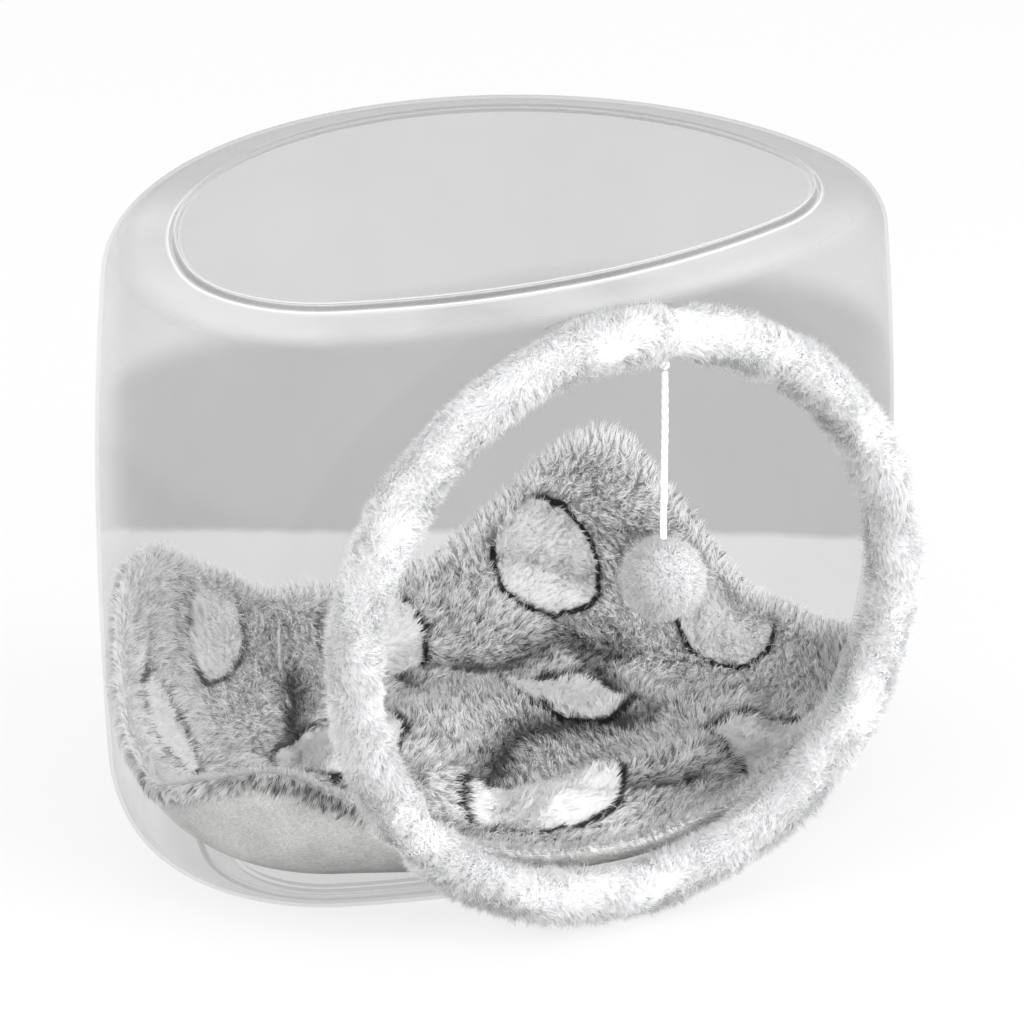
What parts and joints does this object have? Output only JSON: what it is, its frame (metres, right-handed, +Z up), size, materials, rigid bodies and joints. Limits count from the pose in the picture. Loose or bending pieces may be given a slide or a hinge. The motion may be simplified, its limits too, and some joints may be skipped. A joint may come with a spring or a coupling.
{
  "type": "capsule cat bed",
  "caption": "Clear one-piece capsule pet bed with a round mouth, a slip-on plush ring, a hanging toy ball and a loose plush mat.",
  "frame": {"origin": "on the floor, at the middle of the width and midway between the front of the plush ring and the back of the shell", "axes": "+Z up, -Y out of the mouth (the front), +X to the right seen from the front"},
  "size_m": [0.4296, 0.3614, 0.338],
  "materials": {
    "clear_plastic": "clear moulded plastic, polished",
    "foam": "open-cell foam tube",
    "white_fur": "long white pile",
    "white_thread": "sewing thread",
    "white_cord": "twisted cord",
    "wadding": "loose polyester wadding",
    "cream_fleece": "short fleece",
    "grey_plush": "plush with printed white rounds"
  },
  "bodies": {
    "capsule": {"shell": "clear_plastic", "mat_underside": "cream_fleece", "mat_wadding": "wadding", "mat_top_plush": "grey_plush"},
    "ring": {"ring_foam_core": "foam", "ring_plush_sleeve": "white_fur", "ring_seams": "white_thread"},
    "hanger": {"cord_knot": "white_cord"},
    "toy": {"cord": "white_cord", "pompom_cover": "white_fur", "pompom_filling": "wadding"}
  },
  "joints": [
    {"name": "ring_pull_off", "type": "slide", "parent": "capsule", "child": "ring", "axis": [0, -1, 0], "range_m": [0, 0.04]},
    {"name": "toy_swing_fore_aft", "type": "hinge", "parent": "ring", "child": "hanger", "pos_m": [0.02013, -0.15875, 0.3047], "axis": [1, 0, 0], "range_deg": [-60, 60]},
    {"name": "toy_swing_side", "type": "hinge", "parent": "hanger", "child": "toy", "pos_m": [0.02013, -0.15875, 0.3047], "axis": [0, 1, 0], "range_deg": [-40, 40]}
  ]
}
